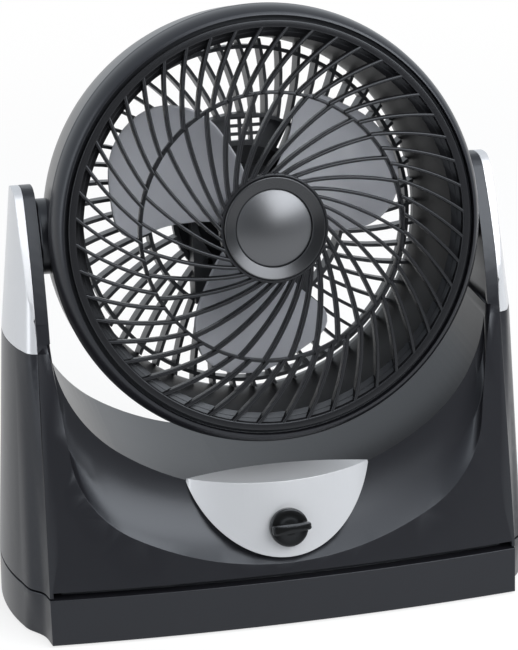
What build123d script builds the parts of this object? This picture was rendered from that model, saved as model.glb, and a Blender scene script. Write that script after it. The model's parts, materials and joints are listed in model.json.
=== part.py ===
from build123d import *
import os
from math import atan2, cos, degrees, exp, hypot, log, radians, sin, sqrt, tan

os.makedirs("parts", exist_ok=True)

# Air circulator fan. Millimetres, +X right, +Y back, +Z up. The origin is the centre of the
# footprint on the table. The front of the fan faces -Y.

# ---------------------------------------------------------------- driving sizes
fit = 0.1                 # gap between pieces that are fixed together
running = 0.35            # gap between pieces that move past each other

# Head: a round barrel on two side pivots. Depths are measured back from the grille's ring.
tilt_up = 12.0            # face of the head leans back by this angle
ring_y = -30.5
ring_z = 264.8
pivot_depth = 50.0
opening_radius = 129.7
grille_ring_width = 5.0
groove_width = 2.8
lip_radius = 145.0
lip_depth = 16.7
lip_width = 1.7
drum_front_radius = 144.0
drum_mid_radius = 143.2
drum_mid_depth = 45.0
drum_rear_radius = 135.5
drum_rear_depth = 88.3
drum_wall = 2.4
bezel_wall = 2.6
seat_depth = 5.4          # the grille's ring sits this deep in the bezel
seat_wall = 2.2
duct_front_radius = 127.6
duct_rear_radius = 120.4
duct_wall = 1.6
rear_grille_depth = 82.4

# Front grille
inner_ribs = 32
outer_ribs = 48
rib_width = 2.3
rib_depth = 8.0
rib_start = 34.0          # radius from which the ribs swirl
hub_wall_radius = 36.0
mid_ring_radius = 88.0
mid_ring_width = 2.6
grille_rise = 4.7         # the ribs stand this far forward at the hub
inner_rib_swirl = 32.1
inner_rib_curl = 10.0
inner_rib_curl_length = 12.0
outer_rib_swirl = 42.6
outer_rib_start = 1.9     # degrees between an inner rib's end and an outer rib
hub_radius = 33.9
hub_front = 6.4
hub_disc_radius = 25.6
hub_dome_front = 7.8
hub_seat = -1.0
hub_floor = 2.2
grille_screw_circle = 132.0

# Rear grille
rear_inner_ribs = 26
rear_outer_ribs = 52
rear_plate_radius = 50.0
rear_mid_radius = 66.5
rear_ring_radius = 112.4
rear_rim_inner = 120.4
rear_rim_outer = 127.0
rear_ring_width = 2.6
rear_rib_width = 2.2
rear_rib_depth = 6.0      # from the grille's front to its back, at the rim
rear_rib_front = 74.5     # the ribs reach this far forward inside the duct
rear_rib_limit = 119.5    # only up to this radius, clear of the duct
rear_plate_wall = 2.4
rear_lean = 4.5
rear_screw_circle = 124.8
vent_start = 60.0
vent_end = 125.0
vent_columns = 3
vent_shift = 4.0          # the vents lie a little to one side of the plate's middle
vent_rows = 3
vent_pitch = 7.7
vent_row_pitch = 5.6
vent_length = 5.4
vent_height = 3.4
tray_half = 40.0          # box in front of the plate, round the motor and below it
tray_bottom = -57.0
tray_top = 12.0
tray_front = 67.2
tray_rear = 84.4
tray_wall = 2.0

# Blade
paddle_count = 3
first_paddle = 30.0
paddle_thickness = 2.2
paddle_depth = 48.0
paddle_bow = 11.5
paddle_half = 50.0
hub_cup_radius = 24.0
hub_cup_front = 42.0
hub_cup_rear = 66.0
hub_cup_wall = 1.8
boss_radius = 8.0
shaft_radius = 4.0
shaft_front = 35.0
shaft_rear = 99.0
shaft_fit = 0.03

# Motor
motor_radius = 35.0
motor_wall = 1.8
motor_front = 70.0
motor_flange_radius = 47.0
motor_screw_circle = 42.5
motor_screw_count = 4
stator_radius = 33.0
stator_bore = 17.5
stator_front = 76.0
stator_rear = 89.0
coil_radius = 30.0
coil_bore = 20.0
coil_front = 73.5
coil_rear = 92.0
rotor_radius = 17.1
motor_rear = 95.8
bush_radius = 7.0
cover_radius = 46.0
cover_rear = 104.0
cover_wall = 1.8

# Stand
wall = 2.6
skin = 2.2
plinth_top = 32.8
plinth_bottom = 1.5
plinth_wall = 2.6
plinth_rear = 83.0
floor_wall = 2.4
lid_wall = 2.4
upstand_height = 4.9
upstand_wall = 2.0
upstand_rear = 71.4
shell_bottom = 34.3
groove_top = 37.8
groove_half = 158.5
groove_recess = 9.0
stand_top = 287.5
cap_edge = 191.4
inner_half = 149.0
trough_low = 85.5
trough_radius = 185.0
trough_corner = 100.0
foot_radius = 9.0
foot_height = 3.5
screw_radius = 1.5
screw_head_radius = 3.0
screw_length = 12.0
screw_clearance = 0.15    # round a shank that passes through
thread_fit = 0.02         # round a shank that is held
small_screw_radius = 1.2
small_head_radius = 2.4
small_head = 1.4
post_radius = 5.0
post_split = 44.0         # the plinth's posts end here and the shell's begin
post_top = 170.0
stand_posts = [(x, y) for x in (-125, 125) for y in (-28, 44)]
upper_cover_screws = [(-159, 150), (159, 150)]
lower_cover_screws = [(-92, 66), (92, 66)]
upper_cover_seat = 51.2   # the screw heads' flats, back from the middle
lower_cover_seat = 66.3
cover_gap = 2.1           # from a screw's flat in to the end of its boss
foot_places = [(x, y) for x in (-142, 142) for y in (-52, 60)]
gland_radius = 5.0
gland_collar = 8.0
cord_radius = 3.4
gland_x = 70.0
gland_z = 17.0

# Control panel and knob
panel_top = 97.8
panel_bottom = 49.0
panel_half = 63.6
panel_tip_y = -43.8
panel_front_y = -63.0
panel_back_y = -34.0
panel_lean = 0.307
panel_wall = 2.4
knob_z = 68.5
knob_radius = 13.0
peg_radius = 2.5
knob_lift = 0.5
knob_height = 5.5
grip_height = 10.8
grip_width = 7.0
switch_size = 22.0
switch_depth = 12.0
collar_radius = 5.0
spindle_radius = 3.0

# Pivots
pin_radius = 6.0
pin_head_radius = 10.0
pin_head = 2.0
washer_wall = 1.2
nut_radius = 8.5
nut_width = 4.5
pivot_gap = 0.25
boss_disc_radius = 25.0
bush_flange_radius = 11.0
bush_flange = 2.0

# Derived places
tilt = radians(tilt_up)
HEAD = Plane(origin=(0, ring_y, ring_z), x_dir=(1, 0, 0), z_dir=(0, -cos(tilt), sin(tilt)))
ring_outer = opening_radius + grille_ring_width
bezel_inner = ring_outer + groove_width
drum_front_depth = lip_depth + lip_width + fit
duct_front_depth = seat_depth + seat_wall + fit
duct_flange_radius = duct_front_radius + 6.4
duct_flange_depth = duct_front_depth + 1.8
pivot_y = ring_y + pivot_depth * cos(tilt)
pivot_z = ring_z - pivot_depth * sin(tilt)
panel_y = panel_front_y - panel_lean * (panel_top - knob_z)
panel_angle = atan2(panel_lean, 1)
KNOB = Plane(origin=(0, panel_y, knob_z), x_dir=(1, 0, 0), z_dir=(0, -cos(panel_angle), sin(panel_angle)))

parts = {}


# ---------------------------------------------------------------- small helpers
def in_head(solid):
    """Move a piece modelled on the head's own axis (Z forward) into place."""
    return HEAD.location * solid


def in_panel(solid):
    """Move a piece modelled on the knob's axis (Z outward) into place."""
    return KNOB.location * solid


def at_depth(radius, depth):
    """Point of a turned profile: radius and depth behind the grille's ring."""
    return (radius, 0, -depth)


def turned(edges):
    """Solid of revolution about Z from a closed chain of edges in the XZ plane."""
    return revolve(make_face(edges), Axis.Z)


def turned_points(*points):
    """Solid of revolution from the corners (radius, depth) of its section."""
    corners = [at_depth(radius, depth) for radius, depth in points]
    return turned(Polyline(*corners, close=True))


def upright(radius, height):
    """Cylinder that stands on z = 0."""
    return Cylinder(radius, height, align=(Align.CENTER, Align.CENTER, Align.MIN))


def disc(radius, front, rear, bore=0):
    """Round plate between two depths, with a hole if a bore is given."""
    plate = Pos(0, 0, -rear) * upright(radius, rear - front)
    if bore:
        plate -= Pos(0, 0, -rear - 1) * upright(bore, rear - front + 2)
    return plate


def joined(pieces):
    """One body out of overlapping pieces."""
    first = pieces[0]
    return first + pieces[1:] if len(pieces) > 1 else first


def screw(length, head_radius=screw_head_radius, radius=screw_radius, head=1.8):
    """Pan head screw on Z: the head's seat is z = 0 and the shank points down."""
    top = upright(head_radius, head)
    shank = Pos(0, 0, -length) * upright(radius, length + head / 2)
    return top + shank


def bar_x(radius, x_from, x_to):
    """Round bar along X through the tilt axis."""
    middle = (x_from + x_to) / 2
    return Pos(middle, pivot_y, pivot_z) * Rot(0, 90, 0) * Cylinder(radius, abs(x_to - x_from))


# ---------------------------------------------------------------- stand: plan, profile, saddle, scoop
def plan_wire(z, corner, cheek, bulge, flank, widest, rear, bow, rear_y):
    """Plan outline of the stand at one level: bowed front, curled corner, rounded flank, flat rear."""
    edges = [ThreePointArc((-corner[0], corner[1], z), (0, corner[1] - bow, z), (corner[0], corner[1], z))]
    for side in (1, -1):
        places = [(side * x, y, z) for x, y in (corner, cheek, bulge, flank)]
        ends = [(side * 0.3, 1, 0), (side * 0.25, 1, 0)]
        edges.append(Spline(*places, tangents=ends, tangent_scalars=[0.7, 1.2]))
        side_wall = (side * widest[0], widest[1], z)
        edges.append(ThreePointArc(places[-1], side_wall, (side * rear[0], rear[1], z)))
        edges.append(Line((side * rear[0], rear[1], z), (side * (rear[0] - 9), rear_y, z)))
    back = rear[0] - 9
    edges.append(Line((-back, rear_y, z), (back, rear_y, z)))
    return Wire(edges)


def plan_at(z, grow=0.0):
    """Outline at a height, worked out between four measured levels. A positive grow makes it larger."""
    levels = [
        # height, corner, cheek, bulge, flank, widest, rear, front bow
        (0.0, (160.7, -75.7), (163.2, -62.5), (168.6, -53.8),
         (174.6, -43.6), (182.0, -3.0), (160.0, 74.0), 7.3),
        (37.8, (160.9, -70.9), (163.9, -60.6), (169.4, -55.6),
         (174.8, -42.0), (182.0, -4.0), (160.0, 72.0), 9.1),
        (191.4, (157.5, -32.4), (161.4, -30.6), (166.2, -24.4),
         (169.9, -15.0), (173.6, 8.0), (165.4, 50.0), 0.6),
        (296.0, (151.0, -6.2), (155.0, -4.6), (157.8, 0.0),
         (159.6, 6.0), (161.8, 21.0), (159.0, 50.0), 0.3),
    ]
    below = max(level for level in levels[:-1] if level[0] <= z)
    above = levels[levels.index(below) + 1]
    share = (z - below[0]) / (above[0] - below[0])

    def between(a, b):
        return a + (b - a) * share

    places = [tuple(between(p, q) for p, q in zip(low, high)) for low, high in zip(below[1:7], above[1:7])]
    moved = [(x + grow, y - grow * 0.8) for x, y in places[:2]]
    moved += [(x + grow, y - grow * 0.5) for x, y in places[2:4]]
    moved += [(x + grow, y) for x, y in places[4:]]
    bow = between(below[7], above[7])
    return plan_wire(z, *moved, bow, 92.0)


def body_block(low, grow=0.0):
    """The stand's outer block before its profile, saddle and scoop are cut."""
    heights = [low, cap_edge, 296.0] if low < cap_edge else [low, 296.0]
    return Solid.make_loft([plan_at(z, grow) for z in heights], True)


def side_profile(grow=0.0, rear_grow=0.0):
    """Side view of the uprights as a slab across the whole width."""
    front_low = (-110 - grow, 20)
    front_high = (-95 - grow, 120)
    lean_end = (-32.4 - grow, cap_edge)
    top_front = (10 - grow, 281 + grow * 0.5)
    top = (22, stand_top + grow)
    rear_top = (44 + rear_grow, 280 + grow * 0.5)
    rear_high = (50.5 + rear_grow, 262)
    rear_mid = (51.8 + rear_grow, 165.6)
    rear_bend = (61.5 + rear_grow, 90.0)
    rear_low = (78.0 + rear_grow, 25.6)
    edges = [
        Polyline((0, *front_low), (0, *front_high), (0, lean_end[0], lean_end[1])),
        ThreePointArc((0, *lean_end), (0, -15.6 - grow, 238.5), (0, *top_front)),
        ThreePointArc((0, *top_front), (0, 15.2 - grow * 0.6, 285.6 + grow * 0.8), (0, *top)),
        Spline((0, *top), (0, *rear_top), (0, *rear_high), tangents=[(0, 1, 0), (0, 0, -1)]),
        Line((0, *rear_high), (0, *rear_mid)),
        ThreePointArc((0, *rear_mid), (0, 53.9 + rear_grow, 127.5), (0, *rear_bend)),
        Polyline((0, *rear_bend), (0, *rear_low), (0, *front_low)),
    ]
    face = make_face(edges)
    return extrude(face, 200, both=True, dir=(1, 0, 0))


def u_outline(place, low, bottom_radius, corner_radius, corner_angle, flare, top):
    """U outline in a plane across the stand: bottom arc, two corner arcs, two flared sides."""
    turn = radians(corner_angle)
    lean = radians(flare)
    centre_v = low + bottom_radius
    reach = bottom_radius - corner_radius
    corner = (reach * sin(turn), centre_v - reach * cos(turn))
    join = (bottom_radius * sin(turn), centre_v - bottom_radius * cos(turn))
    half_turn = (turn + radians(90) - lean) / 2
    middle = (corner[0] + corner_radius * sin(half_turn), corner[1] - corner_radius * cos(half_turn))
    side = (corner[0] + corner_radius * cos(lean), corner[1] - corner_radius * sin(lean))
    upper = (side[0] + (top - side[1]) * tan(lean), top)
    spots = [join, middle, side, upper]
    right = [place.from_local_coords((u, v, 0)) for u, v in spots]
    left = [place.from_local_coords((-u, v, 0)) for u, v in spots]
    bottom = place.from_local_coords((0, low, 0))
    return Wire([
        ThreePointArc(left[0], bottom, right[0]),
        ThreePointArc(right[0], right[1], right[2]),
        Line(right[2], right[3]),
        Line(right[3], left[3]),
        Line(left[3], left[2]),
        ThreePointArc(left[2], left[1], left[0]),
    ])


def trough(grow=0.0):
    """Round saddle between the uprights, cut straight through from front to back."""
    place = Plane(origin=(0, 110, 0), x_dir=(1, 0, 0), z_dir=(0, -1, 0))
    reach = trough_radius - trough_corner
    angle = degrees(atan2(inner_half - trough_corner, sqrt(reach**2 - (inner_half - trough_corner) ** 2)))
    outline = u_outline(place, trough_low - grow, trough_radius + grow, trough_corner + grow, angle, 0.0, 320)
    return extrude(Face(outline), 240, dir=(0, -1, 0))


def leaning_plane(y, z, slope):
    """Plane across the stand through (0, y, z) that leans back as it rises."""
    lean = atan2(slope, 1)
    return Plane(origin=(0, y, z), x_dir=(1, 0, 0), z_dir=(0, -cos(lean), sin(lean)))


def station(t):
    """Values of the scoop's U at t = 0 (in front of the face) to 3 (past the saddle's edge)."""
    stations = [
        # y, z, slope, bottom radius, corner radius, corner angle, flare, height
        (-98.0, 34.6, 0.33, 270.0, 52.0, 22.0, 12.0, 170.0),
        (-78.6, 43.5, 0.304, 250.0, 61.0, 24.1, 8.9, 160.0),
        (-57.4, 61.0, 0.235, 216.0, 80.0, 29.4, 2.2, 150.0),
        (-42.6, 91.5, 0.16, 181.0, 97.0, 36.9, 0.0, 140.0),
    ]
    weights = []
    for j in range(4):
        weight = 1.0
        for k in range(4):
            weight *= (t - k) / (j - k) if k != j else 1.0
        weights.append(weight)
    return [sum(w * row[k] for w, row in zip(weights, stations)) for k in range(8)]


def scoop(grow=0.0):
    """Hollowed front below the saddle, from in front of the face up past the saddle's edge."""
    wires = []
    for t in [k / 2 for k in range(7)]:
        y, z, slope, bottom, corner, angle, flare, height = station(t)
        place = leaning_plane(y + 0.75 * grow, z, slope)
        wires.append(u_outline(place, -grow, bottom + grow, corner + grow, angle, max(flare, 0), height))
    return Solid.make_loft(wires, True)


def stand_form(low, inset=0.0, rear_grow=0.0):
    """The whole outer form of the stand, or the same form with a wall taken off all round."""
    form = body_block(low, -inset) & side_profile(-inset, rear_grow)
    form -= trough(inset)
    form -= scoop(inset)
    return form


def cap_zone(side, gap=0.0):
    """Region outside the silver caps' inner boundary and above their lower edge."""
    low_x, high_x = 157.5 + gap, 156.5 + gap
    corners = [(low_x, cap_edge + gap), (high_x, stand_top + 6), (210, stand_top + 6), (210, cap_edge + gap)]
    outline = Polyline(*[(side * x, -100, z) for x, z in corners], close=True)
    return extrude(make_face(outline), 220, dir=(0, 1, 0))


def screw_post(x, y, low, high):
    """Screw post standing on its lower end, and the hole for a screw that comes up into it."""
    post = Pos(x, y, low) * upright(post_radius, high - low)
    hole = Pos(x, y, low - 1) * upright(screw_radius + thread_fit, screw_length + 1)
    return post, hole


# ---------------------------------------------------------------- stand pieces
outer_form = stand_form(shell_bottom)
inner_form = stand_form(shell_bottom - 5, wall, 12)
side_zones = [cap_zone(1), cap_zone(-1)]
cover_fixings = [(x, z, upper_cover_seat) for x, z in upper_cover_screws]
cover_fixings += [(x, z, lower_cover_seat) for x, z in lower_cover_screws]


# Shell: the visible black moulding, open behind and below, with its caps' zones cut away
shell = outer_form - inner_form
for zone in side_zones:
    shell -= zone
for x, y in stand_posts:
    post, hole = screw_post(x, y, post_split + fit, post_top)
    shell += (post & outer_form) - hole
for x, z, seat in cover_fixings:
    rear = seat - cover_gap
    boss = Pos(x, (rear - 75) / 2, z) * Rot(90, 0, 0) * Cylinder(post_radius - 1, rear + 75)
    hole = Pos(x, rear - 5, z) * Rot(90, 0, 0) * Cylinder(screw_radius + thread_fit, 30)
    shell += (boss & outer_form) - hole
groove_height = groove_top - shell_bottom + 2
groove = Pos(0, -80, groove_top - groove_height / 2) * Box(2 * groove_half, 40, groove_height)
shell -= groove
for side in (1, -1):
    shell -= bar_x(pin_radius + bush_flange + running, side * (inner_half - 2), side * (inner_half + 8))
panel_port = Pos(0, -70, 66.5) * Box(30, 40, 28)
shell -= panel_port
peg_places = [(-40, 84), (40, 84)]
for x, z in peg_places:
    shell -= Pos(x, -48, z) * Rot(90, 0, 0) * Cylinder(peg_radius + 0.15, 40)
parts["stand_shell"] = shell

# Silver caps on the uprights: a skin with a lip that slides inside the shell
cap_core = stand_form(cap_edge - 9, skin, -skin)
lip_outer = stand_form(cap_edge - 9, wall + 0.2, -wall - 0.2)
lip_inner = stand_form(cap_edge - 10, wall + 1.8, -wall - 1.8)
for side, name in ((1, "right"), (-1, "left")):
    cap = (outer_form & cap_zone(side, fit)) - cap_core
    lip_band = lip_outer - lip_inner
    lip = lip_band & (Pos(side * 180.7, -20, cap_edge - 1) * Box(44.4, 130, 12))
    bridge = (cap_core - lip_inner) & (Pos(side * 180.7, -20, cap_edge + fit + 2) * Box(44.4, 130, 4))
    parts["side_cap_" + name] = cap + bridge + lip

# Back cover: closes the shell from behind
cover_outer = stand_form(shell_bottom, wall + 0.2, -0.2)
cover_inner = side_profile(30, -2.6)
cover = cover_outer - cover_inner
for x, z, seat in cover_fixings:
    cover -= Pos(x, seat, z) * Rot(90, 0, 0) * Cylinder(screw_radius + screw_clearance, 60)
    cover -= Pos(x, seat + 10, z) * Rot(90, 0, 0) * Cylinder(screw_head_radius + 2 * screw_clearance, 20)
for side in (1, -1):
    cover -= cap_zone(side, -0.3)
parts["back_cover"] = cover


# Plinth: low tray under the shell with an upstand that fills the shadow groove
def slab_y(rear):
    """Everything in front of a plane across the stand."""
    return Pos(0, rear - 100, 0) * Box(500, 200, 200)


def plinth_block(low, high, grow=0.0):
    """Lofted block between two levels with the flat rear of the plinth."""
    block = Solid.make_loft([plan_at(low, grow), plan_at(high, grow)], True)
    return block & slab_y(plinth_rear + grow)


lid_low = plinth_top - lid_wall
screw_seat = post_split - 4
plinth = plinth_block(plinth_bottom, plinth_top)
plinth -= plinth_block(plinth_bottom + floor_wall, lid_low, -plinth_wall)
plinth += plinth_block(lid_low + 0.6, plinth_top + upstand_height, -groove_recess) & slab_y(upstand_rear)
upstand_core = plinth_block(lid_low - 1, plinth_top + 12, -groove_recess - upstand_wall)
plinth -= upstand_core & slab_y(upstand_rear - upstand_wall)
for x, y in stand_posts:
    post = Pos(x, y, plinth_bottom) * upright(post_radius + 1, post_split - plinth_bottom)
    well = Pos(x, y, plinth_bottom - 1) * upright(screw_head_radius + 0.6, screw_seat - plinth_bottom + 1)
    hole = Pos(x, y, plinth_bottom) * upright(screw_radius + screw_clearance, 60)
    plinth = plinth + post - well - hole
for x, y in foot_places:
    plinth -= Pos(x, y, plinth_bottom) * Cylinder(foot_radius + fit, 2 * (foot_height - plinth_bottom))
plinth -= Pos(gland_x, plinth_rear, gland_z) * Rot(90, 0, 0) * Cylinder(gland_radius + 0.05, 20)
parts["plinth"] = plinth

parts["rubber_feet"] = Compound([
    Pos(x, y, 0) * upright(foot_radius, foot_height - fit) for x, y in foot_places
])
plinth_screw = Rot(180, 0, 0) * screw(screw_length)
parts["base_screws"] = Compound([Pos(x, y, screw_seat - 0.05) * plinth_screw for x, y in stand_posts])
parts["cover_screws"] = Compound([
    Pos(x, seat + 0.05, z) * Rot(-90, 0, 0) * screw(screw_length) for x, z, seat in cover_fixings
])
sleeve = disc(gland_radius, -5, 5, cord_radius)
collar = disc(gland_collar, -6.5, -4.3, cord_radius)
parts["cord_gland"] = Pos(gland_x, plinth_rear - 5.5, gland_z) * Rot(90, 0, 0) * (sleeve + collar)

# Pivot bushes in the uprights' inner walls
for side, name in ((1, "right"), (-1, "left")):
    wall_in, wall_out = inner_half, inner_half + wall
    sleeve = bar_x(pin_radius + 2.0, side * (wall_in + 0.1), side * (wall_out + 2.2))
    flange = bar_x(bush_flange_radius, side * (wall_out + 0.1), side * (wall_out + 0.1 + bush_flange))
    bore = bar_x(pin_radius + 0.05, side * (wall_in - 2), side * (wall_out + 6))
    parts["pivot_bush_" + name] = sleeve + flange - bore


# ---------------------------------------------------------------- control panel, knob and switch
def panel_block(inset=0.0):
    """Half moon pod: flat top, bowed leaning front, bowed back, round lower edge."""
    rise = panel_top - panel_bottom
    round_radius = (panel_half**2 + rise**2) / (2 * rise)
    moon = Pos(0, 0, panel_bottom + round_radius) * Rot(90, 0, 0) * Cylinder(round_radius - inset, 260)
    sag = panel_tip_y - panel_front_y
    front_radius = (panel_half**2 + sag**2) / (2 * sag)
    lean = degrees(panel_angle)
    roll = Pos(0, front_radius, 0) * Cylinder(front_radius - inset, 400)
    roll = Pos(0, panel_front_y, panel_top) * Rot(-lean, 0, 0) * roll
    back_sag = panel_back_y - panel_tip_y
    back_radius = (panel_half**2 + back_sag**2) / (2 * back_sag)
    back = Pos(0, panel_back_y - back_radius, 100) * Cylinder(back_radius - inset, 400)
    below = Pos(0, 0, panel_top - inset - 100) * Box(300, 300, 200)
    return moon & roll & back & below


panel = panel_block() - panel_block(panel_wall)
panel -= stand_form(shell_bottom, -0.15)
panel_solids = sorted(panel.solids(), key=lambda solid: solid.volume)
panel = panel_solids[-1]
panel -= in_panel(Cylinder(collar_radius + 0.1, 30))
for x, z in peg_places:
    panel += (Pos(x, -52, z) * Rot(90, 0, 0) * Cylinder(peg_radius, 30)) & panel_block(0.5)
parts["control_panel"] = panel

# Rotary switch behind the panel, held by a nut on its threaded collar
switch_top = -panel_wall - 0.6
switch_body = Pos(0, 0, switch_top - switch_depth / 2) * Box(switch_size, switch_size, switch_depth)
collar = disc(collar_radius, -3.8, 1 - switch_top)
spindle_bore = disc(spindle_radius + 0.04, -20, 8 - switch_top)
tags = [Pos(side * 7, 0, switch_top - switch_depth - 3) * Box(1, 5, 7) for side in (1, -1)]
parts["rotary_switch"] = in_panel(joined([switch_body, collar] + tags) - spindle_bore)

nut = Pos(0, 0, 0.05) * extrude(RegularPolygon(7.6, 6), 2.4) - Cylinder(collar_radius + 0.05, 20)
parts["switch_nut"] = in_panel(nut)

spindle_top = 7.8
parts["switch_spindle"] = in_panel(disc(spindle_radius, -spindle_top, 7 - switch_top))

# Knob: a round skirt with a raised bar to grip, hollow underneath for the nut
skirt = disc(knob_radius, -knob_height, -knob_lift - 0.6)
skirt = fillet(skirt.edges().group_by(Axis.Z)[-1], 1.2)
grip_outline = Rectangle(2 * knob_radius - 2.4, grip_width)
grip = Pos(0, 0, knob_height - 1) * extrude(grip_outline, grip_height - knob_height + 1)
grip = grip & Cylinder(knob_radius - 0.4, 60)
grip = fillet(grip.edges().group_by(Axis.Z)[-1], 1.2)
well = disc(9.6, -knob_lift - 3.7, 1)
socket = disc(spindle_radius + 0.05, -spindle_top - 0.2, 1)
parts["speed_knob"] = in_panel(skirt + grip - well - socket)


# ---------------------------------------------------------------- head shells
bezel_inner_face = lip_radius - bezel_wall
bezel_profile = [
    ThreePointArc(at_depth(bezel_inner + 0.7, 0), at_depth(142.9, 6.6), at_depth(lip_radius, lip_depth)),
    Polyline(
        at_depth(lip_radius, lip_depth),
        at_depth(lip_radius, lip_depth + lip_width),
        at_depth(bezel_inner_face, lip_depth + lip_width),
        at_depth(bezel_inner_face - 2.4, seat_depth + seat_wall),
        at_depth(duct_front_radius, seat_depth + seat_wall),
        at_depth(duct_front_radius, seat_depth),
        at_depth(bezel_inner, seat_depth),
        at_depth(bezel_inner, 0.6),
        at_depth(bezel_inner + 0.7, 0),
    ),
]
bezel = turned(bezel_profile)

rim_round = 4.5
drum_profile = [
    ThreePointArc(
        at_depth(drum_front_radius, drum_front_depth),
        at_depth(drum_mid_radius + 0.5, drum_front_depth + 14),
        at_depth(drum_mid_radius, drum_mid_depth),
    ),
    Spline(
        at_depth(drum_mid_radius, drum_mid_depth),
        at_depth(drum_mid_radius - 2.6, 68),
        at_depth(drum_rear_radius, drum_rear_depth - rim_round),
        tangents=[(-0.03, 0, -1), (-0.4, 0, -1)],
    ),
    ThreePointArc(
        at_depth(drum_rear_radius, drum_rear_depth - rim_round),
        at_depth(drum_rear_radius - 2.2, drum_rear_depth - 1.2),
        at_depth(drum_rear_radius - 6.2, drum_rear_depth),
    ),
    Polyline(
        at_depth(drum_rear_radius - 6.2, drum_rear_depth),
        at_depth(rear_rim_inner + 2, drum_rear_depth),
        at_depth(rear_rim_inner + 2, drum_rear_depth - drum_wall),
        at_depth(drum_rear_radius - 7, drum_rear_depth - drum_wall),
        at_depth(drum_rear_radius - drum_wall - 0.6, drum_rear_depth - rim_round - 1),
        at_depth(drum_mid_radius - 2.6 - drum_wall, 68),
        at_depth(drum_mid_radius - drum_wall, drum_mid_depth),
        at_depth(drum_front_radius - drum_wall, drum_front_depth),
        at_depth(drum_front_radius, drum_front_depth),
    ),
]
drum = turned(drum_profile)

# Pivot bosses on the drum's sides, bored for the pins
boss_face = inner_half - running
cross = Pos(0, 0, -pivot_depth) * Rot(0, 90, 0)
boss = fillet((cross * Cylinder(boss_disc_radius, 2 * boss_face)).edges(), 1.5)
drum += boss - disc(drum_mid_radius - drum_wall - 1.0, 0, 110)
drum -= cross * Cylinder(pin_radius + 0.05, 2 * boss_face + 4)
parts["head_drum"] = in_head(drum)

duct_rear_depth = rear_grille_depth - fit
duct = turned_points(
    (duct_front_radius, duct_front_depth),
    (duct_flange_radius, duct_front_depth),
    (duct_flange_radius, duct_flange_depth),
    (duct_front_radius + duct_wall, duct_flange_depth),
    (duct_rear_radius + duct_wall, duct_rear_depth),
    (duct_rear_radius, duct_rear_depth),
)


# ---------------------------------------------------------------- grilles
def front_height(radius):
    """Height of the front grille's ribs in front of its ring."""
    return grille_rise * (1 - ((radius - rib_start) / (opening_radius - rib_start)) ** 2)


def inner_angle(radius):
    """Angle of an inner rib: a log spiral that curls more near the hub."""
    curl = inner_rib_curl * (1 - exp(-(radius - rib_start) / inner_rib_curl_length))
    return -(inner_rib_swirl * log(radius / rib_start) + curl)


def outer_angle(radius):
    return -outer_rib_swirl * log(radius / mid_ring_radius)


def rear_angle(radius):
    return rear_lean * (radius - rear_plate_radius) / 30


def polar(radius, angle):
    return (radius * cos(radians(angle)), radius * sin(radians(angle)))


def rib_edge(angle_at, radius, width, side):
    """Point on one side of a rib that keeps its width square to its own direction."""
    step = 0.01
    lean = radius * radians(angle_at(radius + step) - angle_at(radius - step)) / (2 * step)
    half = degrees(width / 2 * hypot(1, lean) / radius)
    return polar(radius, angle_at(radius) + side * half)


def window(angle_at, inner, outer, count, width):
    """Opening between two neighbouring ribs, bounded by two rings."""
    pitch = 360 / count
    radii = [inner + (outer - inner) * k / 4 for k in range(5)]
    low = [rib_edge(angle_at, radius, width, 1) for radius in radii]
    high = [rib_edge(lambda r: angle_at(r) + pitch, radius, width, -1) for radius in radii]

    def arc(a, b, radius):
        mid = ((a[0] + b[0]) / 2, (a[1] + b[1]) / 2)
        scale = radius / hypot(*mid)
        return ThreePointArc(a, (mid[0] * scale, mid[1] * scale), b)

    out, back = arc(low[-1], high[-1], outer), arc(high[0], low[0], inner)
    return Wire([Spline(*low), out, Spline(*reversed(high)), back])


def windows(angle_at, inner, outer, count, width, start=0.0):
    """All the openings between two rings."""
    first = window(angle_at, inner, outer, count, width)
    return [first.rotate(Axis.Z, start + 360 * k / count) for k in range(count)]


def pierced(radius, holes, low, high):
    """Round plate between two heights with all its openings made in one outline."""
    rim = Wire([CenterArc((0, 0, 0), radius, 0, 360)])
    return Pos(0, 0, low) * extrude(Face(rim, holes), high - low, dir=(0, 0, 1))


holes = windows(inner_angle, hub_wall_radius, mid_ring_radius - mid_ring_width / 2, inner_ribs, rib_width)
mid_ring_outer = mid_ring_radius + mid_ring_width / 2
holes += windows(outer_angle, mid_ring_outer, opening_radius, outer_ribs, rib_width, outer_rib_start)
lattice = pierced(ring_outer, holes, -14, 10)
rise_mid = front_height(85)
sweep = [
    Polyline(
        (0, 0, hub_seat - hub_floor),
        (0, 0, hub_seat),
        (hub_radius + 0.3, 0, hub_seat),
        (hub_radius + 0.3, 0, grille_rise),
    ),
    ThreePointArc((hub_radius + 0.3, 0, grille_rise), (85, 0, rise_mid), (opening_radius, 0, 0)),
    Polyline(
        (opening_radius, 0, 0),
        (ring_outer - 0.5, 0, 0),
        (ring_outer, 0, -0.5),
        (ring_outer, 0, fit - seat_depth),
        (duct_front_radius - 0.6, 0, fit - seat_depth),
        (duct_front_radius - 4, 0, 0.6 - rib_depth),
    ),
    ThreePointArc(
        (duct_front_radius - 4, 0, 0.6 - rib_depth),
        (85, 0, rise_mid - rib_depth),
        (hub_wall_radius, 0, grille_rise - rib_depth),
    ),
    Line((hub_wall_radius, 0, grille_rise - rib_depth), (0, 0, hub_seat - hub_floor)),
]
front_grille = lattice & turned(sweep)

# Rear grille: rim, rings, ribs, motor plate and a vented sector
def vent_holes():
    """Small rectangular vents in rows and columns over the motor's upper side."""
    slots = []
    for row in range(vent_rows):
        for column in range(vent_columns):
            across = vent_shift + (column - (vent_columns - 1) / 2) * vent_pitch
            out = rear_plate_radius + 1.6 + row * vent_row_pitch
            slots.append(Pos(across, out, 0) * Box(vent_length, vent_height, 40))
    return slots


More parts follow.
